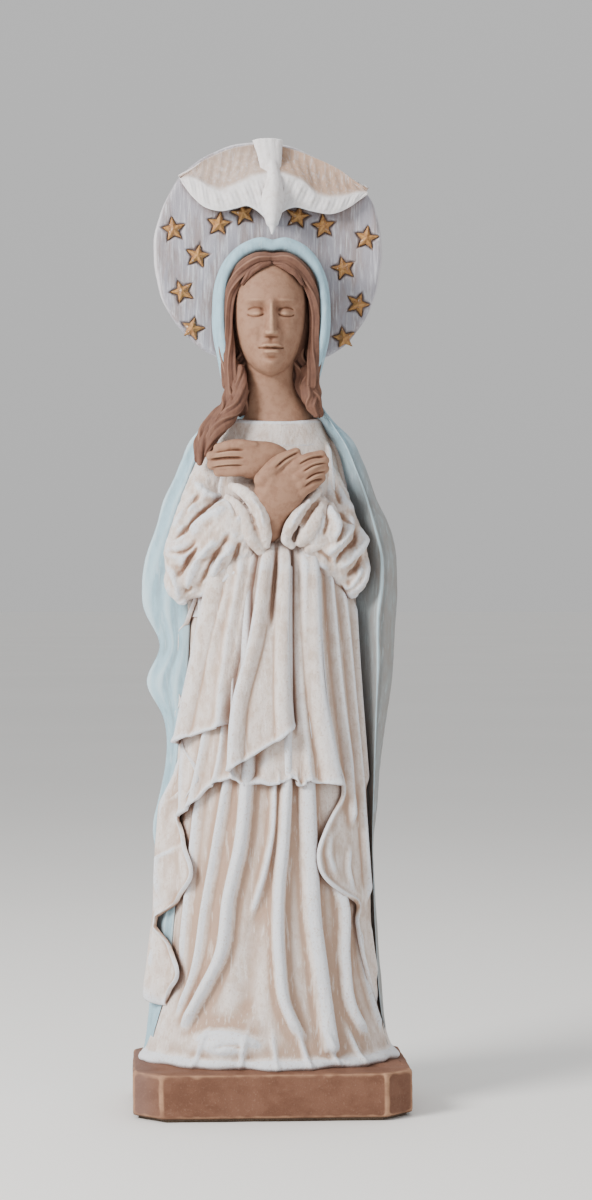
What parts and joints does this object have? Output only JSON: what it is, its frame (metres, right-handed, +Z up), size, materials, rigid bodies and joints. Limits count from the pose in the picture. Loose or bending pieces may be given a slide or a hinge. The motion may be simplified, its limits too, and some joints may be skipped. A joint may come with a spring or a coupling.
{
  "type": "madonna statue",
  "caption": "Standing veiled woman with hands crossed at the breast, a starred round halo and a diving dove behind her head, on a plinth with cut corners.",
  "frame": {"origin": "on the table, under the middle of the plinth's felt underside", "axes": "+Z up, she looks along -Y, +X is towards her left side"},
  "size_m": [0.0944, 0.066, 0.3345],
  "materials": {
    "gown_white": "matte white paint, brushed dry over a pinkish beige wash",
    "cloak_blue": "matte pale blue paint with whitened ridges",
    "skin": "matte warm tan paint",
    "hair": "matte reddish brown paint, darker in the grooves",
    "halo_paint": "matte lilac grey paint with dry white streaks",
    "gilt": "dull ochre gold paint",
    "dove_white": "matte white paint, warm in the hollows",
    "plinth_terracotta": "matte terracotta brown wash over cast stone",
    "felt": "pressed wool felt",
    "steel": "plain bright wire and zinc screws"
  },
  "bodies": {
    "root": {"cloak": "cloak_blue", "dove_body": "dove_white", "dove_left_wing": "dove_white", "dove_pins": "steel", "dove_right_wing": "dove_white", "felt_pad": "felt", "gown_bodice": "gown_white", "gown_skirt": "gown_white", "hair_cap": "hair", "hair_left_lock": "hair", "hair_right_lock": "hair", "halo": "halo_paint", "halo_pins": "steel", "hand_pins": "steel", "head": "skin", "hood": "cloak_blue", "left_cascade": "gown_white", "left_cuff": "gown_white", "left_hand": "skin", "left_sleeve": "gown_white", "neck_band": "gown_white", "neck_rod": "steel", "plinth": "plinth_terracotta", "plinth_screws": "steel", "right_cascade": "gown_white", "right_cuff": "gown_white", "right_hand": "skin", "right_sleeve": "gown_white", "star_01": "gilt", "star_02": "gilt", "star_03": "gilt", "star_04": "gilt", "star_05": "gilt", "star_06": "gilt", "star_07": "gilt", "star_08": "gilt", "star_09": "gilt", "star_10": "gilt", "star_11": "gilt", "star_12": "gilt", "tunic_lower_layer": "gown_white", "tunic_upper_layer": "gown_white"}
  },
  "joints": []
}
